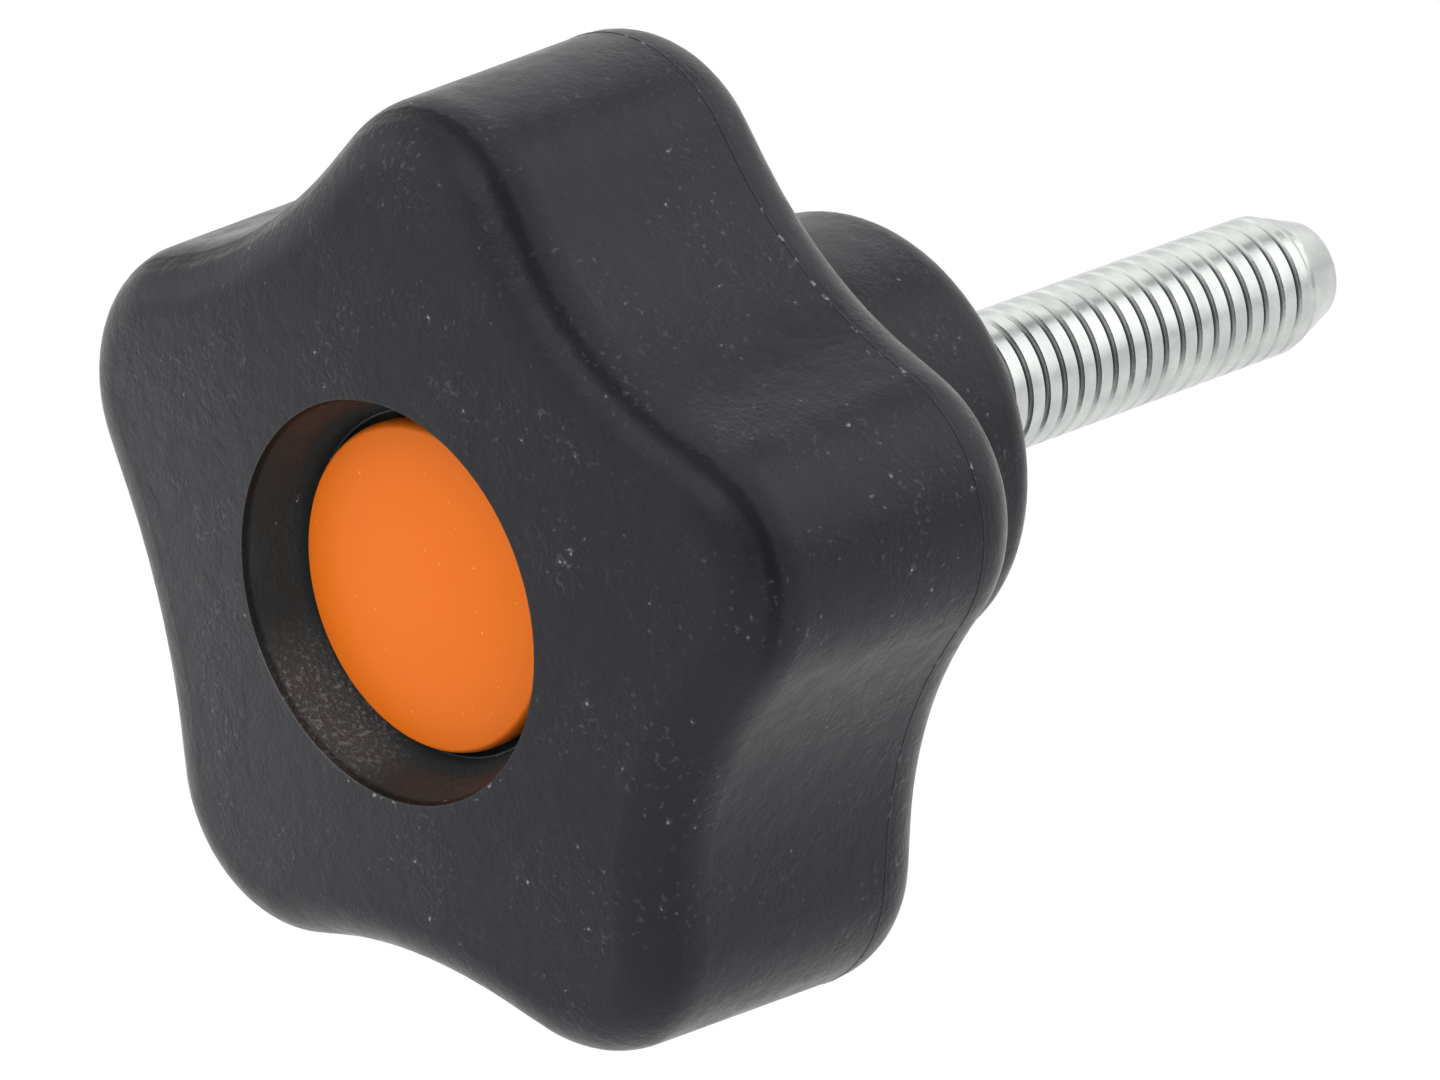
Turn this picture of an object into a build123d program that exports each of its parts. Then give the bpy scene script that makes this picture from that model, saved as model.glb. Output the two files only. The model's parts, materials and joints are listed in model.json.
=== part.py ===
from build123d import *
from math import asin, cos, degrees, radians, sin
import os

# Star knob: a five-lobed moulded head with a threaded steel stud and a coloured end cap.
#
# The axis of the knob lies along Y, with its crowned face towards -Y, its stud towards +Y and one
# lobe pointing up (+Z). The origin is the middle of the boss's end face, the face that seats on
# the clamped work. Heights are measured from that face towards the crowned face, along the normal
# of Plane.XZ, so a height h lies at y = -h.

# ---------------------------------------------------------------- driving dimensions (mm, degrees)

# Lobed head
lobe_count = 5
knob_d = 40.0  # over the lobe tips, at the parting line where the head is widest
tip_r = 6.2  # outer curve of a lobe
valley_r = 18.1  # hollow between two lobes
flank_angle = 38.5  # straight side of a lobe to the lobe's centre line
head_h = 16.3  # back of the lobes to the top of the crown
crown_rise = 1.9  # how far the crowned face falls away towards the lobe tips
head_draft = 1.4  # side walls narrow towards the front, to leave the mould
front_round = 2.75  # rounding between the crowned face and the side walls
back_round = 2.5  # rounding between the side walls and the back of the lobes
parting_land = 0.3  # straight band between the parting line and the back rounding

# Boss
boss_d = 18.3
boss_h = 11.35  # back of the lobes to the seating face
boss_round = 1.5

# Cored pockets in the back of the lobes
back_land = 0.8  # flat rim left on the back of the lobes, outside each pocket
boss_land = 0.4  # flat ring left round the foot of the boss
rib_w = 2.4  # ribs between the pockets, one under each valley
front_wall = 4.6  # crown to pocket floor
pocket_corner_r = 1.0

# Recess in the crowned face, and the bore below it for the cap's skirt
recess_gap = 0.35  # edge of the cap to the foot of the recess wall
recess_wall_run = 1.1  # how far the sloping wall leans out from its foot to the crowned face
recess_depth = 2.9
bore_d = 11.0
bore_depth = 5.0  # below the shoulder

# End cap
cap_d = 13.4
cap_edge_t = 0.8  # thickness at the edge
cap_dome_rise = 0.7
cap_edge_chamfer = 0.2
skirt_length = 3.4
skirt_wall = 1.0
skirt_clearance = 0.05  # skirt to bore, on the radius
snap_depth = 2.3  # shoulder to the middle of the snap bead
snap_rise = 0.25  # bead above the skirt
snap_half_w = 0.5

# Threaded stud, M6, with a thicker shank and a head that are moulded into the boss
thread_d = 5.9  # over the crests
stud_length = 25.0  # beyond the seating face
stud_end_d = 4.25  # flat end
stud_end_length = 2.4  # chamfer, measured along the stud
stud_shank_d = 8.0  # its shoulder lies flush with the seating face
stud_shank_length = 13.5  # seating face to the head
stud_head_af = 10.0  # hexagonal head, across flats
stud_head_t = 4.0

# ---------------------------------------------------------------- derived sizes

half_pitch = 180 / lobe_count
flank_corner_r = knob_d / 2 - tip_r + tip_r / sin(radians(flank_angle))
valley_corner_r = flank_corner_r * sin(radians(flank_angle)) / sin(radians(half_pitch + flank_angle))

knob_h = boss_h + head_h
parting_h = boss_h + back_round + parting_land
crown_radius = ((knob_d / 2) ** 2 + crown_rise**2) / (2 * crown_rise)
pocket_depth = head_h - front_wall

recess_seat_d = cap_d + 2 * recess_gap
recess_d = recess_seat_d + 2 * recess_wall_run
recess_rim_h = knob_h - crown_radius + (crown_radius**2 - (recess_d / 2) ** 2) ** 0.5
seat_h = recess_rim_h - recess_depth
skirt_r = bore_d / 2 - skirt_clearance
cap_crest_h = seat_h + cap_edge_t + cap_dome_rise
cap_dome_r = ((cap_d / 2) ** 2 + cap_dome_rise**2) / (2 * cap_dome_rise)
cap_dome_angle = degrees(asin(cap_d / 2 / cap_dome_r))


def polar_point(radius, direction):
    """Give the point at a radius and a direction in degrees, for a sketch on the knob's axis."""
    return (radius * cos(radians(direction)), radius * sin(radians(direction)))


def distance_from_axis(corner):
    """Measure how far a corner of a sketch lies from the knob's axis."""
    return corner.center().length


def make_lobed_outline():
    """Draw the head's outline: lobe tips and valleys joined by straight flanks, tangent all round."""
    corners = []
    for lobe in range(lobe_count):
        direction = 90 + 2 * half_pitch * lobe
        corners.append(polar_point(flank_corner_r, direction))
        corners.append(polar_point(valley_corner_r, direction + half_pitch))
    with BuildSketch() as outline:
        with BuildLine():
            Polyline(*corners, close=True)
        make_face()
        fillet(outline.vertices().group_by(distance_from_axis)[-1], tip_r)
        fillet(outline.vertices().group_by(distance_from_axis)[0], valley_r)
    return outline.sketch


def snap_profile(radius, gap):
    """Give the three points of the snap bead's section, or of its groove with a gap round the bead."""
    middle = -(seat_h - snap_depth)
    return (
        (radius, middle - snap_half_w - gap),
        (skirt_r + snap_rise + gap, middle),
        (radius, middle + snap_half_w + gap),
    )


lobed_outline = make_lobed_outline()

# ---------------------------------------------------------------- threaded stud

with BuildPart() as threaded_stud:
    with BuildSketch(Plane.XZ.offset(stud_shank_length)):
        RegularPolygon(radius=stud_head_af / 2, side_count=6, major_radius=False)
    extrude(amount=stud_head_t)
    with BuildSketch(Plane.XZ):
        Circle(stud_shank_d / 2)
    extrude(amount=stud_shank_length)
    with BuildSketch(Plane.XZ):
        Circle(thread_d / 2)
    extrude(amount=-stud_length)
    stud_end = threaded_stud.edges().filter_by(GeomType.CIRCLE).sort_by(Axis.Y)[-1]
    chamfer(stud_end, length=stud_end_length, length2=(thread_d - stud_end_d) / 2,
            reference=threaded_stud.faces().filter_by(GeomType.CYLINDER).sort_by(Axis.Y)[-1])

# ---------------------------------------------------------------- moulded body

with BuildPart() as knob_body:
    # Lobed head, widest at the parting line, under a shallow spherical crown.
    with BuildSketch(Plane.XZ.offset(parting_h)):
        add(lobed_outline)
    extrude(amount=knob_h - parting_h, taper=head_draft)
    with BuildSketch(Plane.XZ.offset(parting_h)):
        add(lobed_outline)
    extrude(amount=boss_h - parting_h)
    with Locations((0, crown_radius - knob_h, 0)):
        Sphere(crown_radius, mode=Mode.INTERSECT)
    fillet(knob_body.faces().filter_by(GeomType.SPHERE).edges(), front_round)
    fillet(knob_body.faces().sort_by(Axis.Y)[-1].edges(), back_round)

    # Pockets that core each lobe from the back, with a rib under each valley.
    with BuildSketch(Plane.XZ.offset(boss_h)):
        add(lobed_outline)
        offset(amount=-(back_round + back_land))
        Circle(boss_d / 2 + boss_land, mode=Mode.SUBTRACT)
        with PolarLocations(knob_d / 4, lobe_count, start_angle=90 + half_pitch):
            Rectangle(knob_d / 2, rib_w, mode=Mode.SUBTRACT)
        offset(amount=-pocket_corner_r)
        offset(amount=pocket_corner_r)
    extrude(amount=pocket_depth, mode=Mode.SUBTRACT)

    # Boss, rounded at its end.
    with BuildSketch(Plane.XZ):
        Circle(boss_d / 2)
    extrude(amount=boss_h)
    fillet(knob_body.faces().sort_by(Axis.Y)[-1].edges(), boss_round)

    # Recess with sloping walls, the shoulder for the cap, and the bore with its snap groove.
    with BuildSketch(Plane.XY):
        with BuildLine():
            Polyline(
                (0, -(knob_h + 1)),
                (recess_d / 2, -(knob_h + 1)),
                (recess_d / 2, -recess_rim_h),
                (recess_seat_d / 2, -seat_h),
                (bore_d / 2, -seat_h),
                *snap_profile(bore_d / 2, skirt_clearance),
                (bore_d / 2, bore_depth - seat_h),
                (0, bore_depth - seat_h),
                close=True,
            )
        make_face()
    revolve(axis=Axis.Y, mode=Mode.SUBTRACT)

    # The plastic is moulded round the stud's shank and head.
    add(threaded_stud.part, mode=Mode.SUBTRACT)

# ---------------------------------------------------------------- end cap

with BuildPart() as end_cap:
    with BuildSketch(Plane.XY) as cap_section:
        with BuildLine():
            dome = CenterArc((0, cap_dome_r - cap_crest_h), cap_dome_r, -90, cap_dome_angle)
            Polyline(
                dome @ 1,
                (cap_d / 2, -seat_h),
                (skirt_r, -seat_h),
                *snap_profile(skirt_r, 0),
                (skirt_r, skirt_length - seat_h),
                (skirt_r - skirt_wall, skirt_length - seat_h),
                (skirt_r - skirt_wall, -seat_h),
                (0, -seat_h),
                dome @ 0,
            )
        make_face()
        chamfer(cap_section.vertices().group_by(Axis.X)[-1].sort_by(Axis.Y)[0], cap_edge_chamfer)
    revolve(axis=Axis.Y)

# ---------------------------------------------------------------- one STEP file for each piece

os.makedirs("parts", exist_ok=True)
knob_body.part.label = "knob_body"
end_cap.part.label = "end_cap"
threaded_stud.part.label = "threaded_stud"
for piece in (knob_body, end_cap, threaded_stud):
    export_step(piece.part, f"parts/{piece.part.label}.step")
    print(piece.part.label, round(piece.part.volume, 1), "mm3")
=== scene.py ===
# %% [markdown]
# # A star knob with a threaded stud
#
# A star knob is a hand-clamping part: a black moulded plastic head with five lobes, an orange
# cap pressed into a recess in its face, and a zinc-plated steel stud moulded into its boss.
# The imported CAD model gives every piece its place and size, so this notebook only dresses it.
# The knob's axis lies along Y, the crowned face looks towards -Y and the stud points to +Y.

# %% Load the fixed frame
import json
from collections import namedtuple
from math import asin, cos, pi, radians, sin

import bmesh
import bpy
from mathutils import Matrix, Vector


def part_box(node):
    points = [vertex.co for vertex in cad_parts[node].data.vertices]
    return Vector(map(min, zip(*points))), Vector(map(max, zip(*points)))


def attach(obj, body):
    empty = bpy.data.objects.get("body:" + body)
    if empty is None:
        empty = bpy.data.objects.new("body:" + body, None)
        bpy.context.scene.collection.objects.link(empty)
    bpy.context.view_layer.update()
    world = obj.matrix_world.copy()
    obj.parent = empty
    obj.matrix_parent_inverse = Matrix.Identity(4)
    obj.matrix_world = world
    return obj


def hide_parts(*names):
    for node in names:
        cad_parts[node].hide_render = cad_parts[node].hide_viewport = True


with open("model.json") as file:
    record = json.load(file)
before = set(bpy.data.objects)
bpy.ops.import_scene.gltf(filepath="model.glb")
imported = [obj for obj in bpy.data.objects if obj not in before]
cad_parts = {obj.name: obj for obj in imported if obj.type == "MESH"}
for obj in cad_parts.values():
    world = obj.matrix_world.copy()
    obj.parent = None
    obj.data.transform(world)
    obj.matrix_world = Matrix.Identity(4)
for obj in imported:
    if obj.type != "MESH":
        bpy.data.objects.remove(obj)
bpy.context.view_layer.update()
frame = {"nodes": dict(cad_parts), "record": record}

MM = 0.001

# %% [markdown]
# ## Measures from the frame
#
# The frame gives the box of each CAD node. The stud's node tells where the thread ends, and the
# record's mount tells its radius over the crests and where its end chamfer starts. They could be
# typed in again, but reading them keeps every new piece on the CAD model if a size changes there.

# %% Read the sizes that the new pieces share
stud_mount = next(mount for mount in frame["record"]["mounts"] if mount["name"] == "stud")

CREST_R = stud_mount["dims"]["r_mm"] * MM
CHAMFER_Y = stud_mount["dims"]["length_mm"] * MM
body_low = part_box("knob_body")[0]
cap_low, cap_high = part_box("end_cap")
stud_low, stud_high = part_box("threaded_stud")
STUD_END_Y = stud_high.y
print(f"Stud: crest radius {CREST_R / MM:.2f} mm, chamfer from {CHAMFER_Y / MM:.1f} mm, "
      f"end at {STUD_END_Y / MM:.1f} mm")

# %% [markdown]
# ## The camera
#
# The knob is seen from its front right and a little above, through a long lens. The view is
# given by its direction and its distance from a point on the knob's axis, which is how a
# photographer would set it: walk round by the azimuth, climb by the elevation, tilt by the
# roll. A plain location and rotation would say the same, but could not be read.

# %% Set the camera
VIEW_AZIMUTH = radians(44.53)
VIEW_ELEVATION = radians(21.79)
VIEW_ROLL = radians(0.47)
VIEW_DISTANCE = 519.2 * MM
VIEW_CENTRE = Vector((0, -19.35 * MM, 0))
VIEW_ASIDE = 7.304 * MM
VIEW_UP = 0.386 * MM
LENS = 331.95
SENSOR = 36.0

to_camera = Vector((
    sin(VIEW_AZIMUTH) * cos(VIEW_ELEVATION),
    -cos(VIEW_AZIMUTH) * cos(VIEW_ELEVATION),
    sin(VIEW_ELEVATION),
))
level_right = Vector((cos(VIEW_AZIMUTH), sin(VIEW_AZIMUTH), 0))
level_up = to_camera.cross(level_right)
right = cos(VIEW_ROLL) * level_right + sin(VIEW_ROLL) * level_up
up = cos(VIEW_ROLL) * level_up - sin(VIEW_ROLL) * level_right

camera = bpy.data.objects.new("camera", bpy.data.cameras.new("camera"))
bpy.context.scene.collection.objects.link(camera)
camera.data.lens = LENS
camera.data.sensor_width = SENSOR
camera.matrix_world = Matrix((right, up, to_camera)).transposed().to_4x4()
camera.location = VIEW_CENTRE + VIEW_ASIDE * right + VIEW_UP * up + VIEW_DISTANCE * to_camera
bpy.context.scene.camera = camera
bpy.context.scene.view_settings.view_transform = "Standard"
print("Camera at", [round(c, 4) for c in camera.location])

# %% [markdown]
# ## Sums with nodes
#
# The light and every finish are sums of values that change from place to place, and Blender
# writes such sums as nodes joined by links. Each helper below adds one node or a small group of
# them to a tree and gives the output socket, so that the next cells read like the sums they are.
# Building the same trees by hand in the editor would work, but could not be run again.

# %% Write the node helpers
def add_math(tree, operation, first, second=None, third=None):
    """Add a Math node whose inputs are sockets or numbers, and give its output."""
    node = tree.nodes.new("ShaderNodeMath")
    node.operation = operation
    for socket, value in zip(node.inputs, (first, second, third)):
        if value is None:
            continue
        if isinstance(value, (int, float)):
            socket.default_value = value
        else:
            tree.links.new(value, socket)
    return node.outputs[0]


def multiply(tree, first, second):
    """Give the product of two sockets or numbers, which for two masks is where both hold."""
    return add_math(tree, "MULTIPLY", first, second)


def add_share(tree, value, share, base):
    """Give the base plus a share of the value."""
    return add_math(tree, "MULTIPLY_ADD", value, share, base)


def strongest(tree, first, *others):
    """Give the largest of several masks at each place."""
    for other in others:
        first = add_math(tree, "MAXIMUM", first, other)
    return first


def add_vector_math(tree, operation, first, second):
    """Add a Vector Math node on a socket and a fixed vector, and give its value."""
    node = tree.nodes.new("ShaderNodeVectorMath")
    node.operation = operation
    tree.links.new(first, node.inputs[0])
    node.inputs[1].default_value = second
    return node.outputs["Value"]


def add_ramp(tree, value, start, end):
    """Give 0 where the value is at the start, rising smoothly to 1 at the end."""
    ramp = tree.nodes.new("ShaderNodeMapRange")
    ramp.interpolation_type = "SMOOTHSTEP"
    tree.links.new(value, ramp.inputs["Value"])
    ramp.inputs["From Min"].default_value = start
    ramp.inputs["From Max"].default_value = end
    return ramp.outputs["Result"]


print("Node helpers ready")

# %% [markdown]
# ## Light like a white tent
#
# Small shiny and black parts are lit in a white tent: light comes softly from everywhere,
# stronger from above and from a few lamps behind the cloth. Only two places are dark: the hole
# that the lens looks through and a seam high up at the back, which draws a grey streak along the
# stud. Area lamps and a cloth could be built as objects, but the world can be the tent by
# itself: its brightness is a sum of soft discs, each round a direction, and it lights every side
# of the part.

# %% Make the tent
SoftDisc = namedtuple("SoftDisc", "direction inner_angle outer_angle strength")

TENT_WALL = 0.9
LAMPS = (
    SoftDisc((0.10, 0.45, 1.00), 20, 75, 0.85),  # overhead
    SoftDisc((-0.75, -0.75, 0.10), 12, 45, 1.10),  # front left
    SoftDisc((0.05, -0.72, 0.69), 14, 24, 1.60),  # high at the front
    SoftDisc((-0.65, 0.72, 0.00), 12, 45, 0.25),  # behind on the left
    SoftDisc((0.52, 0.67, 0.54), 12, 34, 0.60),  # high behind on the right
)
DARK_PLACES = (
    SoftDisc((-0.09, 0.66, 0.73), 3, 9, 0.9),  # the seam
    SoftDisc(to_camera, 7, 15, 0.5),  # the hole for the lens
)


def add_soft_disc(tree, looking, disc):
    """Give 1 within a disc's inner angle of its direction, falling to 0 at its outer angle."""
    dot = add_vector_math(tree, "DOT_PRODUCT", looking, Vector(disc.direction).normalized())
    return add_ramp(tree, dot, cos(radians(disc.outer_angle)), cos(radians(disc.inner_angle)))


world = bpy.data.worlds.new("white_tent")
bpy.context.scene.world = world
world.use_nodes = True
tent = world.node_tree
tent.nodes.clear()
looking = tent.nodes.new("ShaderNodeTexCoord").outputs["Generated"]

level = TENT_WALL
for lamp in LAMPS:
    level = add_share(tent, add_soft_disc(tent, looking, lamp), lamp.strength, level)
for dark in DARK_PLACES:
    kept_light = add_share(tent, add_soft_disc(tent, looking, dark), -dark.strength, 1.0)
    level = multiply(tent, level, kept_light)
print("Tent of", len(LAMPS), "lamps and", len(DARK_PLACES), "dark places")

# %% [markdown]
# ## The white background
#
# The background is plain white, at a strength of 1. The light on the knob must not change for
# that, so only the rays that come straight from the camera see the plain white. All others see
# the tent, also those that the steel mirrors, because the tent's walls are nearly as white and
# its lamps and its seam draw the streaks that make steel look like steel.

# %% Show the camera plain white
light_path = tent.nodes.new("ShaderNodeLightPath")
up_to_white = add_math(tent, "SUBTRACT", 1.0, level)
background = tent.nodes.new("ShaderNodeBackground")
tent.links.new(add_share(tent, light_path.outputs["Is Camera Ray"], up_to_white, level),
               background.inputs["Strength"])
world_output = tent.nodes.new("ShaderNodeOutputWorld")
tent.links.new(background.outputs[0], world_output.inputs["Surface"])
print("World of", len(tent.nodes), "nodes")

# %% [markdown]
# ## The floor
#
# The knob is held up by its stud, so it hangs over the floor, and only a faint soft shadow
# falls there. The floor is one large face, a matte white sheet, because nothing of it is seen
# but its colour.

# %% Lay the floor
FLOOR_DROP = 60 * MM
FLOOR_SIZE = 12.0
FLOOR_Z = body_low.z - FLOOR_DROP

floor_mesh = bmesh.new()
bmesh.ops.create_grid(floor_mesh, x_segments=1, y_segments=1, size=FLOOR_SIZE)
bmesh.ops.translate(floor_mesh, verts=floor_mesh.verts, vec=(0, 0, FLOOR_Z))
floor = bpy.data.objects.new("floor", bpy.data.meshes.new("floor"))
floor_mesh.to_mesh(floor.data)
floor_mesh.free()
bpy.context.scene.collection.objects.link(floor)
print("Floor at", round(FLOOR_Z / MM, 1), "mm")

# %% [markdown]
# ## The floor's paint
#
# The sheet's picture is lifted to white by a share of plain glow that only the camera sees,
# which leaves the light on the knob as it is. A lamp's pool of light lies on the sheet to the
# left, where the knob's face mirrors it and the camera doesn't see it. A real spot lamp could
# draw the pool, but would also light the knob.

# %% Paint the floor
SHEET_WHITE = (0.82, 0.82, 0.82, 1)
SHEET_LIFT = 0.9
POOL_CENTRE = (-190 * MM, -115 * MM, FLOOR_Z)
POOL_INNER_R = 55 * MM
POOL_OUTER_R = 115 * MM
POOL_LIGHT = 0.6

white_floor = bpy.data.materials.new("white_floor")
white_floor.use_nodes = True
tree = white_floor.node_tree
tree.nodes.clear()
sheet_place = tree.nodes.new("ShaderNodeTexCoord").outputs["Object"]
camera_ray = tree.nodes.new("ShaderNodeLightPath").outputs["Is Camera Ray"]

matte = tree.nodes.new("ShaderNodeBsdfDiffuse")
matte.inputs["Color"].default_value = SHEET_WHITE
glow = tree.nodes.new("ShaderNodeEmission")
glow.inputs["Strength"].default_value = 1.0
lifted_sheet = tree.nodes.new("ShaderNodeMixShader")
tree.links.new(multiply(tree, camera_ray, SHEET_LIFT), lifted_sheet.inputs[0])
tree.links.new(matte.outputs[0], lifted_sheet.inputs[1])
tree.links.new(glow.outputs[0], lifted_sheet.inputs[2])

from_pool = add_vector_math(tree, "DISTANCE", sheet_place, POOL_CENTRE)
pool = multiply(tree, add_ramp(tree, from_pool, POOL_OUTER_R, POOL_INNER_R),
                add_math(tree, "SUBTRACT", POOL_LIGHT, camera_ray))
pool_glow = tree.nodes.new("ShaderNodeEmission")
tree.links.new(strongest(tree, pool, 0.0), pool_glow.inputs["Strength"])

both = tree.nodes.new("ShaderNodeAddShader")
tree.links.new(lifted_sheet.outputs[0], both.inputs[0])
tree.links.new(pool_glow.outputs[0], both.inputs[1])
floor_output = tree.nodes.new("ShaderNodeOutputMaterial")
tree.links.new(both.outputs[0], floor_output.inputs["Surface"])
floor.data.materials.append(white_floor)
print("White floor of", len(tree.nodes), "nodes")

# %% [markdown]
# ## Moulded skin, shared by both plastics
#
# Both plastics have the skin of a moulding: a fine grain that breaks up the sheen, faint
# speckles, and a few bright flecks where dust or a fibre sits in the surface. The nodes could
# be repeated in each plastic, but one node group keeps them alike, and each plastic places it
# with its own sizes. Its noises are in waves per metre. The flecks are the very peaks of one
# noise, and the speckles are wider slices of the same peaks.

# %% Build the skin group
FLECK_PEAKS = (0.76, 0.81)
SPECKLE_PEAKS = (0.62, 0.74)


def add_noise(tree, vector, waves, detail=2.0, roughness=0.5):
    """Add a Noise Texture whose scale is a number or a socket, in waves per metre."""
    noise = tree.nodes.new("ShaderNodeTexNoise")
    tree.links.new(vector, noise.inputs["Vector"])
    if isinstance(waves, (int, float)):
        noise.inputs["Scale"].default_value = waves
    else:
        tree.links.new(waves, noise.inputs["Scale"])
    noise.inputs["Detail"].default_value = detail
    noise.inputs["Roughness"].default_value = roughness
    return noise.outputs["Fac"]


skin = bpy.data.node_groups.new("moulded_skin", "ShaderNodeTree")
skin.interface.new_socket(name="Vector", in_out="INPUT", socket_type="NodeSocketVector")
for socket_name in ("Grain Scale", "Fleck Scale"):
    skin.interface.new_socket(name=socket_name, in_out="INPUT", socket_type="NodeSocketFloat")
for socket_name in ("Height", "Fleck", "Speckle"):
    skin.interface.new_socket(name=socket_name, in_out="OUTPUT", socket_type="NodeSocketFloat")
skin_in = skin.nodes.new("NodeGroupInput").outputs
skin_out = skin.nodes.new("NodeGroupOutput").inputs

grain = add_noise(skin, skin_in["Vector"], skin_in["Grain Scale"], detail=3.0, roughness=0.65)
specks = add_noise(skin, skin_in["Vector"], skin_in["Fleck Scale"], detail=1.0, roughness=0.4)
fleck = add_ramp(skin, specks, *FLECK_PEAKS)
skin.links.new(add_math(skin, "ADD", grain, fleck), skin_out["Height"])
skin.links.new(fleck, skin_out["Fleck"])
skin.links.new(add_ramp(skin, specks, *SPECKLE_PEAKS), skin_out["Speckle"])
print("Skin group of", len(skin.nodes), "nodes")

# %% [markdown]
# ## Starting a finish
#
# Every finish starts from a Principled BSDF, which stands for almost any real surface, and
# takes its patterns from Object coordinates. The pieces lie unmoved in the knob's own frame, so
# these coordinates are places on the knob in metres, and a mark can be put where the mould or
# the machine leaves it.

# %% Write the material helpers
LINE_CORE = 0.2


def new_material(name):
    """Start a node material, and give it, its tree, its shader's inputs and the place on the knob."""
    material = bpy.data.materials.new(name)
    material.use_nodes = True
    tree = material.node_tree
    place = tree.nodes.new("ShaderNodeTexCoord").outputs["Object"]
    return material, tree, tree.nodes["Principled BSDF"].inputs, place


def split_place(tree, place):
    """Give a place's coordinates, and its distance from the knob's axis."""
    axes = tree.nodes.new("ShaderNodeSeparateXYZ")
    tree.links.new(place, axes.inputs[0])
    squared = add_math(tree, "ADD", multiply(tree, axes.outputs["X"], axes.outputs["X"]),
                       multiply(tree, axes.outputs["Z"], axes.outputs["Z"]))
    return axes.outputs, add_math(tree, "SQRT", squared)


def add_skin(tree, place, grain_waves, fleck_waves):
    """Place the skin group with its own sizes, and give its outputs."""
    group = tree.nodes.new("ShaderNodeGroup")
    group.node_tree = skin
    tree.links.new(place, group.inputs["Vector"])
    group.inputs["Grain Scale"].default_value = grain_waves
    group.inputs["Fleck Scale"].default_value = fleck_waves
    return group.outputs


def add_bump(tree, shader, height, distance, strength):
    """Feed a height into the shader's normal through a Bump node."""
    bump = tree.nodes.new("ShaderNodeBump")
    bump.inputs["Strength"].default_value = strength
    bump.inputs["Distance"].default_value = distance
    tree.links.new(height, bump.inputs["Height"])
    tree.links.new(bump.outputs["Normal"], shader["Normal"])


def add_mix(tree, factor, first, second):
    """Mix two colours by a factor, each a tuple or a socket, and give the colour."""
    mix = tree.nodes.new("ShaderNodeMix")
    mix.data_type = "RGBA"
    tree.links.new(factor, mix.inputs["Factor"])
    # The node has inputs A and B for each type of data: 6 and 7 are the two colours.
    for socket, colour in zip((mix.inputs[6], mix.inputs[7]), (first, second)):
        if isinstance(colour, tuple):
            socket.default_value = colour
        else:
            tree.links.new(colour, socket)
    return mix.outputs[2]


def add_line(tree, value, middle, half_width):
    """Give 1 along a line where the value is at the middle, falling to 0 at its half width."""
    off = add_math(tree, "ABSOLUTE", add_math(tree, "SUBTRACT", value, middle))
    return add_ramp(tree, off, half_width, LINE_CORE * half_width)


print("Material helpers ready")

# %% [markdown]
# ## The black glass-filled plastic
#
# The head is moulded in glass-fibre filled nylon. It is nearly black, and what the eye sees is
# its satin sheen. The mould leaves its marks in fixed places, and some shade and light are
# painted in fixed places too, and the next cells work out a mask for each of them before the
# colours are mixed. Painted image maps could hold the same marks, but masks made from places
# stay sharp at any size and need no file.

# %% Start the black plastic
HEAD_GRAIN_WAVES = 4200
HEAD_FLECK_WAVES = 3300

black_plastic, tree, shader, place = new_material("black_plastic")
axis, from_axis = split_place(tree, place)
head_skin = add_skin(tree, place, HEAD_GRAIN_WAVES, HEAD_FLECK_WAVES)
print("Black plastic started with", len(tree.nodes), "nodes")

# %% [markdown]
# ## The crease along the front rounding
#
# A fine crease runs round the head just behind the crowned face. It is sunk by the bump and
# darkened with painted shade, both clear on the upper side and almost gone below. The crown's
# height falls with the square of the distance from the axis, so the depth below the crown can be
# worked out for every place, and the crease is a line at one depth. A little noise makes it
# wander, as a worn edge of a mould does.

# %% Find the crease
CROWN_CREST_Y = -27.65 * MM
CROWN_RISE = 1.9 * MM
HEAD_R = 20 * MM
CREASE_FROM_R = 12 * MM
CREASE_DEPTH = 1.12 * MM
CREASE_HALF_WIDTH = 0.36 * MM
CREASE_WANDER = 0.25 * MM
CREASE_WAVES = 1700
CREASE_SHARE_BELOW = 0.15
UPPER_SIDE_Z = 7 * MM

crown_y = add_share(tree, multiply(tree, from_axis, from_axis), CROWN_RISE / HEAD_R**2,
                    CROWN_CREST_Y)
below_crown = add_math(tree, "SUBTRACT", axis["Y"], crown_y)
wander = add_share(tree, add_noise(tree, place, CREASE_WAVES), CREASE_WANDER, below_crown)
# The crease is a sunk line in the bump and a line of painted shade in the colour.
crease_and_painted_shade = multiply(tree, add_line(tree, wander, CREASE_DEPTH, CREASE_HALF_WIDTH),
                  add_math(tree, "GREATER_THAN", from_axis, CREASE_FROM_R))
upper_side = add_ramp(tree, axis["Z"], 0, UPPER_SIDE_Z)
crease_and_painted_shade = multiply(tree, crease_and_painted_shade,
                  add_share(tree, upper_side, 1 - CREASE_SHARE_BELOW, CREASE_SHARE_BELOW))
print(f"Crease {CREASE_DEPTH / MM:.2f} mm below the crown")
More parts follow.
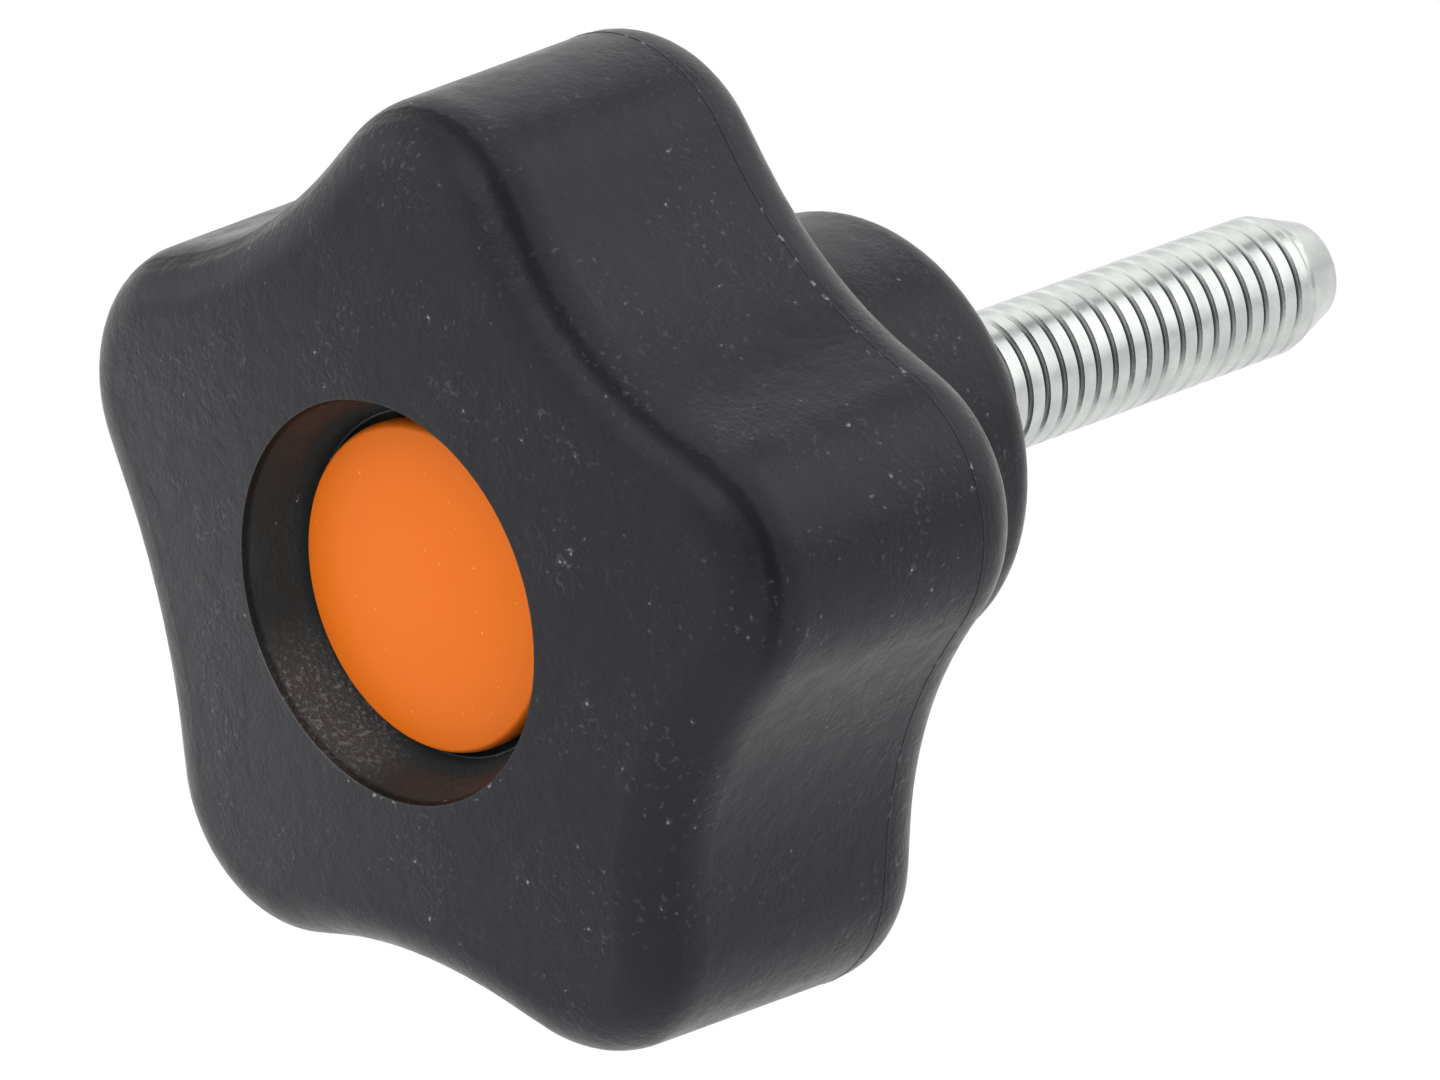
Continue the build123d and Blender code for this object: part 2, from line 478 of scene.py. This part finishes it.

# %% [markdown]
# ## The recess round the cap
#
# The recess's sloping wall has a dark line of painted shade under its rim and a rough patch low
# on one side, and painted light lifts it above the head's black, most of all at its foot. Beside
# the cap it ends in a groove so deep that no light leaves it, and the groove is painted black as
# shade. All of this is bounded by distances from the axis, and by the height of the recess's
# floor, so that the stud end of the knob is left out.

# %% Find the places in the recess
RECESS_FLOOR_Y = body_low.y + 4.5 * MM
RECESS_WALL_R = 8.15 * MM
RECESS_WALL_EDGE = 0.1 * MM
RECESS_FOOT_R = 7.05 * MM
RECESS_FOOT_EDGE = 0.55 * MM
GROOVE_R = 6.95 * MM
GROOVE_EDGE = 0.06 * MM
RIM_LINE_R = 8.10 * MM
RIM_LINE_HALF_WIDTH = 0.10 * MM
ROUGH_PATCH = Vector((-4.4 * MM, body_low.y + 1.4 * MM, -6.2 * MM))
ROUGH_PATCH_R = 4.6 * MM
ROUGH_PATCH_CORE_R = 1.38 * MM
ROUGH_WAVES = 4600
ROUGH_PEAKS = (0.50, 0.70)



def add_disc(tree, from_axis, full_r, soft_edge):
    """Give 1 out to a radius round the axis, falling to 0 over a soft edge beyond it."""
    return add_ramp(tree, from_axis, full_r + soft_edge, full_r)


in_front = add_math(tree, "LESS_THAN", axis["Y"], RECESS_FLOOR_Y)
in_recess = multiply(tree, in_front, add_disc(tree, from_axis, RECESS_WALL_R, RECESS_WALL_EDGE))
# Painted light: the wall is painted lighter towards its foot beside the cap.
foot_painted_light = multiply(tree, in_front, add_disc(tree, from_axis, RECESS_FOOT_R, RECESS_FOOT_EDGE))
# The groove beside the cap is painted black as shade.
groove_painted_shade = multiply(tree, in_front, add_disc(tree, from_axis, GROOVE_R, GROOVE_EDGE))
# The dark line under the rim is painted shade.
rim_shade_line = multiply(tree, in_front, add_line(tree, from_axis, RIM_LINE_R, RIM_LINE_HALF_WIDTH))

from_patch = add_vector_math(tree, "DISTANCE", place, ROUGH_PATCH)
near_patch = add_ramp(tree, from_patch, ROUGH_PATCH_R, ROUGH_PATCH_CORE_R)
rough = multiply(tree, near_patch, in_recess)
rough_noise = add_noise(tree, place, ROUGH_WAVES, detail=3.0, roughness=0.65)
rough_peaks = multiply(tree, rough, add_ramp(tree, rough_noise, *ROUGH_PEAKS))
print("Masks for the recess, its foot, its groove, its rim line and its rough patch")

# %% [markdown]
# ## Flecks and flash
#
# Bright flecks gather in loose patches on the skin. A few more sit on the recess's lower rim and
# along the parting line, where bits of flash have broken off. Each kind is a narrow line or a
# slice of the skin's flecks, kept only where a coarser noise is at its peaks, because an even
# row of spots would look drawn.

# %% Find the bright spots
PATCH_WAVES = 260
PATCH_PEAKS = (0.42, 0.66)
PARTING_Y = -14.15 * MM
FLASH_SPOT_WAVES = 1500
FLASH_SPOT_PEAKS = (0.60, 0.68)
FLASH_SHARE_BELOW = 0.2
FLASH_SHARE_ADDED_ABOVE = 0.5
RIM_SPOT_R = 8.32 * MM
RIM_SPOT_WAVES = 2400
RIM_SPOT_PEAKS = (0.66, 0.73)
RIM_SPOT_SHARE = 0.7
RIM_SPOT_FROM_Z = -3 * MM
RIM_SPOT_FULL_Z = -6 * MM
SPOT_HALF_WIDTH = 0.16 * MM

patches = add_ramp(tree, add_noise(tree, place, PATCH_WAVES), *PATCH_PEAKS)
flecks = multiply(tree, head_skin["Fleck"], patches)

flash_peaks = add_ramp(tree, add_noise(tree, place, FLASH_SPOT_WAVES), *FLASH_SPOT_PEAKS)
flash_spots = multiply(tree, add_line(tree, axis["Y"], PARTING_Y, SPOT_HALF_WIDTH), flash_peaks)
flash_spots = multiply(tree, flash_spots, add_share(tree, upper_side, FLASH_SHARE_ADDED_ABOVE,
                                                    FLASH_SHARE_BELOW))

rim_peaks = add_ramp(tree, add_noise(tree, place, RIM_SPOT_WAVES), *RIM_SPOT_PEAKS)
rim_spots = multiply(tree, add_line(tree, from_axis, RIM_SPOT_R, SPOT_HALF_WIDTH), rim_peaks)
lower_rim = add_ramp(tree, axis["Z"], RIM_SPOT_FROM_Z, RIM_SPOT_FULL_Z)
rim_spots = multiply(tree, multiply(tree, rim_spots, lower_rim),
                     multiply(tree, in_front, RIM_SPOT_SHARE))
bright = strongest(tree, flecks, flash_spots, rim_spots)
print("Masks for the flecks, the flash and the rim's spots")

# %% [markdown]
# ## The black plastic's colours
#
# The colours are laid over one another like thin coats, each where its mask lets it through.
# Some coats are painted light and shade: the recess wall is painted lighter, most at its foot,
# and the groove, the rim line and the crease are painted with shade. Where shade is painted, a
# place gets a black colour and becomes a metal, because a black plastic still mirrors the tent
# in its surface, and a black metal mirrors nothing.

# %% Colour the black plastic
BLACK = (0.0118, 0.0108, 0.0152, 1)
SPECKLE_GREY = (0.050, 0.049, 0.056, 1)
RECESS_PAINTED_LIGHT = (0.0200, 0.0275, 0.0285, 1)
FOOT_PAINTED_LIGHT = (0.0300, 0.0390, 0.0400, 1)
ROUGH_GREY = (0.050, 0.052, 0.052, 1)
ROUGH_PEAK_GREY = (0.160, 0.160, 0.160, 1)
FLECK_GREY = (0.30, 0.31, 0.33, 1)
NO_LIGHT = (0.0005, 0.0005, 0.0005, 1)
SPECKLE_SHARE = 0.8
RIM_SHADE_SHARE = 0.5
CREASE_SHADE_SHARE = 0.4

# Painted shade: the groove, the rim line and the crease turn black and metal here.
unlit = strongest(tree, groove_painted_shade, multiply(tree, rim_shade_line, RIM_SHADE_SHARE),
                  multiply(tree, crease_and_painted_shade, CREASE_SHADE_SHARE))
speckles = multiply(tree, head_skin["Speckle"], multiply(tree, patches, SPECKLE_SHARE))
colour = BLACK
for mask, coat in (
    (speckles, SPECKLE_GREY),
    # Painted light: the recess wall is lifted above the head's black, most of all at its foot.
    (in_recess, RECESS_PAINTED_LIGHT),
    (foot_painted_light, FOOT_PAINTED_LIGHT),
    (rough, ROUGH_GREY),
    (rough_peaks, ROUGH_PEAK_GREY),
    (bright, FLECK_GREY),
    (unlit, NO_LIGHT),
):
    colour = add_mix(tree, mask, colour, coat)
tree.links.new(colour, shader["Base Color"])
tree.links.new(unlit, shader["Metallic"])
print("Black plastic of", len(tree.nodes), "nodes, coloured")

# %% [markdown]
# ## The black plastic's sheen and grain
#
# A slow mottle in the roughness keeps the sheen from looking like paint. The fine heights are
# too small to model, so they go through a Bump node, which only tilts the surface for the
# light: the skin's grain, deeper inside the patches, the rough patch, the sunk crease and the
# mottle.

# %% Give the black plastic its sheen and grain
MOTTLE_WAVES = 900
MOTTLE_PEAKS = (0.3, 0.7)
SMOOTHEST = 0.265
MOTTLE_ROUGHNESS = 0.09
PATCH_ROUGHNESS = 0.10
HEAD_SPECULAR = 0.23
PATCH_GRAIN = 2.0
ROUGH_HEIGHT = 9.0
CREASE_HEIGHT = -3.0
MOTTLE_HEIGHT = 1.2
HEAD_BUMP = 0.014 * MM
HEAD_BUMP_STRENGTH = 0.9

mottle = add_ramp(tree, add_noise(tree, place, MOTTLE_WAVES, detail=3.0, roughness=0.6),
                  *MOTTLE_PEAKS)
sheen = add_share(tree, mottle, MOTTLE_ROUGHNESS, SMOOTHEST)
tree.links.new(add_share(tree, rough, PATCH_ROUGHNESS, sheen), shader["Roughness"])
shader["Specular IOR Level"].default_value = HEAD_SPECULAR

height = multiply(tree, head_skin["Height"], add_share(tree, patches, PATCH_GRAIN, 1.0))
height = add_share(tree, multiply(tree, rough_noise, rough), ROUGH_HEIGHT, height)
height = add_share(tree, crease_and_painted_shade, CREASE_HEIGHT, height)
height = add_share(tree, mottle, MOTTLE_HEIGHT, height)
add_bump(tree, shader, height, HEAD_BUMP, HEAD_BUMP_STRENGTH)
print("Black plastic of", len(tree.nodes), "nodes, finished")

# %% [markdown]
# ## The orange cap's plastic
#
# The cap is an unfilled, brightly pigmented plastic. It has the same moulded skin in other
# sizes: a silkier grain and a few pale specks. A lower specular level than the head's keeps the
# tent from paling the orange.

# %% Make the orange plastic
ORANGE = (0.80, 0.165, 0.0075, 1)
ORANGE_SPECK = (1.0, 0.42, 0.16, 1)
CAP_GRAIN_WAVES = 1800
CAP_FLECK_WAVES = 3900
CAP_SPECK_SHARE = 0.6
CAP_ROUGHNESS = 0.46
CAP_SPECK_ROUGHNESS = 0.2
CAP_SPECULAR = 0.15
CAP_BUMP = 0.004 * MM
CAP_BUMP_STRENGTH = 0.3

orange_plastic, tree, shader, place = new_material("orange_plastic")
cap_skin = add_skin(tree, place, CAP_GRAIN_WAVES, CAP_FLECK_WAVES)
tree.links.new(add_mix(tree, multiply(tree, cap_skin["Fleck"], CAP_SPECK_SHARE), ORANGE,
                       ORANGE_SPECK), shader["Base Color"])
tree.links.new(add_share(tree, cap_skin["Fleck"], CAP_SPECK_ROUGHNESS, CAP_ROUGHNESS),
               shader["Roughness"])
shader["Specular IOR Level"].default_value = CAP_SPECULAR
add_bump(tree, shader, cap_skin["Height"], CAP_BUMP, CAP_BUMP_STRENGTH)
print("Orange plastic of", len(tree.nodes), "nodes")

# %% [markdown]
# ## The zinc-plated steel
#
# The stud is zinc plated, so it is a soft mirror: its brightness comes from the tent, and slow
# waves in the plating's colour and roughness keep it from looking like chrome. Little light
# leaves the roots of the thread, so they are darkened by their depth. That shows in a band along
# the side of the stud, between the pale light from the floor and the streak from overhead, so
# the dark roots fade out at both edges of the band.

# %% Make the zinc-plated steel
ZINC_GREY = (0.48, 0.50, 0.485, 1)
ZINC_PALE = (0.60, 0.62, 0.595, 1)
ROOT_GREY = (0.15, 0.16, 0.17, 1)
PLATING_WAVES = 700
PLATING_PEAKS = (0.3, 0.7)
ZINC_SMOOTHEST = 0.19
ZINC_ROUGHNESS = 0.14
ZINC_GRAIN_WAVES = 1900
ZINC_BUMP = 0.02 * MM
ZINC_BUMP_STRENGTH = 0.5
ROOT_FROM_R = CREST_R - 0.05 * MM
ROOT_FULL_R = CREST_R - 0.16 * MM
ROOT_LOWER_EDGE = (-1.1 * MM, 0.2 * MM)
ROOT_UPPER_EDGE = (2.8 * MM, 2.3 * MM)

zinc_steel, tree, shader, place = new_material("zinc_steel")
axis, from_axis = split_place(tree, place)
plating = add_noise(tree, place, PLATING_WAVES, detail=3.0, roughness=0.55)
plated = add_mix(tree, add_ramp(tree, plating, *PLATING_PEAKS), ZINC_GREY, ZINC_PALE)

in_root = multiply(tree, add_ramp(tree, from_axis, ROOT_FROM_R, ROOT_FULL_R),
                   add_math(tree, "LESS_THAN", axis["Y"], CHAMFER_Y))
for band_edge in (ROOT_LOWER_EDGE, ROOT_UPPER_EDGE):
    in_root = multiply(tree, in_root, add_ramp(tree, axis["Z"], *band_edge))

tree.links.new(add_mix(tree, in_root, plated, ROOT_GREY), shader["Base Color"])
tree.links.new(add_share(tree, plating, ZINC_ROUGHNESS, ZINC_SMOOTHEST), shader["Roughness"])
shader["Metallic"].default_value = 1.0
zinc_grain = add_noise(tree, place, ZINC_GRAIN_WAVES, detail=3.0)
add_bump(tree, shader, zinc_grain, ZINC_BUMP, ZINC_BUMP_STRENGTH)
print("Zinc-plated steel of", len(tree.nodes), "nodes")

# %% [markdown]
# ## Finishes on the CAD pieces
#
# The three CAD pieces take the finishes as they are. Two of them will be replaced below, but
# they are painted too, so that a piece that comes back into view has its own finish.

# %% Paint the CAD pieces
for name, material in (
    ("knob_body", black_plastic),
    ("end_cap", orange_plastic),
    ("threaded_stud", zinc_steel),
):
    materials = frame["nodes"][name].data.materials
    materials.clear()
    materials.append(material)
    print(name, "is", material.name)

# %% [markdown]
# ## From a bmesh to a piece
#
# Two of the new pieces start as a line of a few points that operators turn about the axis, and
# the third is cut from the head's own mesh. The first helper draws such a line, the second cuts
# a mesh square across the axis, and the third turns a finished mesh into a piece that rides on
# the knob: smooth, apart from edges sharper than an angle, as a machined or moulded part is.

# %% Write the piece helpers
SHARP_ANGLE = radians(35)


def new_line(mesh, corners):
    """Draw a line through corners given as radius and place along the axis, and give its geometry."""
    points = [mesh.verts.new((radius, along, 0)) for radius, along in corners]
    return points + [mesh.edges.new(pair) for pair in zip(points, points[1:])]


def cut_across(mesh, along, clear_side=0):
    """Cut a mesh at a place along the axis, and clear its +Y side for 1 or its -Y side for -1."""
    bmesh.ops.bisect_plane(mesh, geom=mesh.verts[:] + mesh.edges[:] + mesh.faces[:],
                           plane_co=(0, along, 0), plane_no=(0, clear_side or 1, 0),
                           clear_outer=clear_side != 0)


def new_piece(name, mesh, material):
    """Turn a finished bmesh into a piece that rides on the knob, and give the piece."""
    bmesh.ops.recalc_face_normals(mesh, faces=mesh.faces)
    for face in mesh.faces:
        face.smooth = True
    for edge in mesh.edges:
        edge.smooth = len(edge.link_faces) == 2 and edge.calc_face_angle() < SHARP_ANGLE
    data = bpy.data.meshes.new(name)
    mesh.to_mesh(data)
    mesh.free()
    piece = bpy.data.objects.new(name, data)
    bpy.context.scene.collection.objects.link(piece)
    data.materials.append(material)
    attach(piece, "root")
    print(f"{name}: {len(data.vertices)} vertices, {len(data.polygons)} faces")
    return piece


print("Piece helpers ready")

# %% [markdown]
# ## The stud's thread
#
# The thread is rolled on the stud, one millimetre from crest to crest. Its section for one turn
# is a few points, and a spin that also slides along the axis draws the helix. A stack of rings
# would be simpler, but a real thread climbs, and the slant of its grooves shows. The helix is
# drawn too long at both ends and cut to length.

# %% Roll the thread
THREAD_PITCH = 1.0 * MM
GROOVE_WIDTH = 0.34 * MM
GROOVE_DEPTH = 0.22 * MM
ROOT_WIDTH = 0.08 * MM
THREAD_SINK = 0.4 * MM
TURN_STEPS = 96
TURNS_BEHIND = 3
TURNS_BEYOND = 1
THREAD_WELD = 0.002 * MM

crest_end = THREAD_PITCH - GROOVE_WIDTH
groove_middle = THREAD_PITCH - GROOVE_WIDTH / 2
root_r = CREST_R - GROOVE_DEPTH

thread = bmesh.new()
line = new_line(thread, (
    (CREST_R, 0),
    (CREST_R, crest_end / 2),
    (CREST_R, crest_end),
    (root_r, groove_middle - ROOT_WIDTH / 2),
    (root_r, groove_middle + ROOT_WIDTH / 2),
    (CREST_R, THREAD_PITCH),
))
turns = TURNS_BEHIND + round(STUD_END_Y / THREAD_PITCH) + TURNS_BEYOND
bmesh.ops.translate(thread, verts=thread.verts, vec=(0, -TURNS_BEHIND * THREAD_PITCH, 0))
bmesh.ops.spin(thread, geom=line, cent=(0, 0, 0), axis=(0, 1, 0),
               dvec=(0, THREAD_PITCH / TURN_STEPS, 0), angle=-2 * pi * turns,
               steps=turns * TURN_STEPS, use_merge=False, use_duplicate=False)
bmesh.ops.remove_doubles(thread, verts=thread.verts, dist=THREAD_WELD)
cut_across(thread, -THREAD_SINK, clear_side=-1)
cut_across(thread, CHAMFER_Y)
cut_across(thread, STUD_END_Y, clear_side=1)
print(f"Thread of {turns} turns, cut to {STUD_END_Y / MM:.1f} mm")

# %% [markdown]
# ## The stud's end, shank and head
#
# The stud's end is turned to a cone, which pares the crests away: every point outside the cone
# is drawn in to it, and the open ends are filled. Behind the seating face, out of sight in the
# boss, the stud has its plain shank and its hexagonal head. They are repeated here because the
# new piece stands for the whole stud.

# %% Finish the stud
STUD_END_R = 2.13 * MM
SHANK_R = 4.0 * MM
SHANK_LENGTH = 13.5 * MM
SHANK_SEGMENTS = 64
STUD_HEAD_R = stud_high.x
STUD_HEAD_CORNERS = 6

cone_slope = (STUD_END_R - CREST_R) / (STUD_END_Y - CHAMFER_Y)
for vert in thread.verts:
    cone_r = CREST_R + cone_slope * (vert.co.y - CHAMFER_Y)
    vert_r = vert.co.xz.length
    if vert_r > cone_r:
        vert.co.x *= cone_r / vert_r
        vert.co.z *= cone_r / vert_r
bmesh.ops.holes_fill(thread, edges=[edge for edge in thread.edges if edge.is_boundary])
for radius, low, high, segments in (
    (SHANK_R, -SHANK_LENGTH, 0, SHANK_SEGMENTS),
    (STUD_HEAD_R, stud_low.y, -SHANK_LENGTH, STUD_HEAD_CORNERS),
):
    along_axis = Matrix.Translation((0, (low + high) / 2, 0)) @ Matrix.Rotation(pi / 2, 4, "X")
    bmesh.ops.create_cone(thread, segments=segments, cap_ends=True, radius1=radius,
                          radius2=radius, depth=high - low, matrix=along_axis)
stud = new_piece("stud_thread", thread, zinc_steel)
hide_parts("threaded_stud")

# %% [markdown]
# ## The cap's section
#
# The cap is a shallow dome whose edge is well rounded, with a skirt and a snap bead below. The
# dome's line is an arc about the dome's centre, drawn by spinning one point, and the rest of the
# section follows it down. Only the corner at the edge is bevelled.

# %% Draw the cap's section
CAP_R = cap_high.x
DOME_RISE = 0.7 * MM
DOME_STEPS = 24
EDGE_THICKNESS = 0.8 * MM
EDGE_ROUND = 0.5 * MM
EDGE_SEGMENTS = 6
SKIRT_R = 5.45 * MM
SKIRT_WALL = 1.0 * MM
BEAD_RISE = 0.25 * MM
BEAD_HALF = 0.5 * MM
BEAD_DEPTH = 2.3 * MM
CAP_WELD = 0.001 * MM

crest_y = cap_low.y
edge_y = crest_y + DOME_RISE
seat_y = edge_y + EDGE_THICKNESS
bead_y = seat_y + BEAD_DEPTH
dome_r = (CAP_R**2 + DOME_RISE**2) / (2 * DOME_RISE)

cap = bmesh.new()
crest = cap.verts.new((0, crest_y, 0))
bmesh.ops.spin(cap, geom=[crest], cent=(0, crest_y + dome_r, 0), axis=(0, 0, 1),
               angle=asin(CAP_R / dome_r), steps=DOME_STEPS, use_merge=False,
               use_duplicate=False)
rim = max(cap.verts, key=lambda vert: vert.co.x)
new_line(cap, (
    (rim.co.x, rim.co.y),
    (CAP_R, seat_y),
    (SKIRT_R, seat_y),
    (SKIRT_R, bead_y - BEAD_HALF),
    (SKIRT_R + BEAD_RISE, bead_y),
    (SKIRT_R, bead_y + BEAD_HALF),
    (SKIRT_R, cap_high.y),
    (SKIRT_R - SKIRT_WALL, cap_high.y),
    (SKIRT_R - SKIRT_WALL, seat_y),
    (0, seat_y),
))
bmesh.ops.remove_doubles(cap, verts=cap.verts, dist=CAP_WELD)
edge_corner = Vector((CAP_R, edge_y, 0))
rim = min(cap.verts, key=lambda vert: (vert.co - edge_corner).length)
bmesh.ops.bevel(cap, geom=[rim], offset=EDGE_ROUND, segments=EDGE_SEGMENTS, profile=0.5,
                affect="VERTICES", material=-1)
print("Cap's section of", len(cap.verts), "points")

# %% [markdown]
# ## The cap
#
# A full turn of the section about the axis makes the cap, as a lathe would. The turn ends where
# it began, so its last ring is merged with its first, and the many points that fall together on
# the axis become one.

# %% Turn the cap
CAP_STEPS = 160

bmesh.ops.spin(cap, geom=cap.verts[:] + cap.edges[:], cent=(0, 0, 0), axis=(0, 1, 0),
               angle=2 * pi, steps=CAP_STEPS, use_merge=True, use_duplicate=False)
bmesh.ops.remove_doubles(cap, verts=cap.verts, dist=CAP_WELD)
cap_piece = new_piece("domed_cap", cap, orange_plastic)
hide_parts("end_cap")

# %% [markdown]
# ## The parting line
#
# The two halves of the mould meet round the head where it is widest, and leave a hair of flash
# there. A curve with a bevel could be laid along it, but would have to know the outline. So a
# narrow band of the head's own side wall is lifted off a copy of its mesh instead. The band is
# cut out by two planes, and the walls of the pockets that the planes also cut are left out: only
# what hangs together with the outermost point is kept.

# %% Lift the band off the side wall
FLASH_HALF_WIDTH = 0.06 * MM
FLASH_WELD = 0.0005 * MM

flash = bmesh.new()
flash.from_mesh(frame["nodes"]["knob_body"].data)
bmesh.ops.remove_doubles(flash, verts=flash.verts, dist=FLASH_WELD)
for side in (-1, 1):
    cut_across(flash, PARTING_Y + side * FLASH_HALF_WIDTH, clear_side=side)

wall = {max(flash.verts, key=lambda vert: vert.co.xz.length)}
newly_reached = wall
while newly_reached:
    neighbours = {edge.other_vert(vert) for vert in newly_reached for edge in vert.link_edges}
    newly_reached = neighbours - wall
    wall = wall | newly_reached
inner_walls = [vert for vert in flash.verts if vert not in wall]
bmesh.ops.delete(flash, geom=inner_walls, context="VERTS")
print("Band of", len(flash.faces), "faces round the head")

# %% [markdown]
# ## The ridge of flash
#
# The band is extruded and its new face drawn outwards, to a low ridge that narrows from its foot
# to its top. Each point moves along its own normal, laid flat across the axis, so the ridge
# follows every lobe and hollow.

# %% Draw the ridge of flash
FLASH_RISE = 0.025 * MM
FLASH_TAPER = 0.4

flash.normal_update()
outward = {
    vert.co.to_tuple(): Vector((vert.normal.x, 0, vert.normal.z)).normalized()
    for vert in flash.verts
}
ridge = bmesh.ops.extrude_face_region(flash, geom=flash.faces[:], use_keep_orig=True)["geom"]
for vert in ridge:
    if isinstance(vert, bmesh.types.BMVert):
        vert.co += FLASH_RISE * outward[vert.co.to_tuple()]
        vert.co.y = PARTING_Y + (vert.co.y - PARTING_Y) * FLASH_TAPER
new_piece("parting_flash", flash, black_plastic)
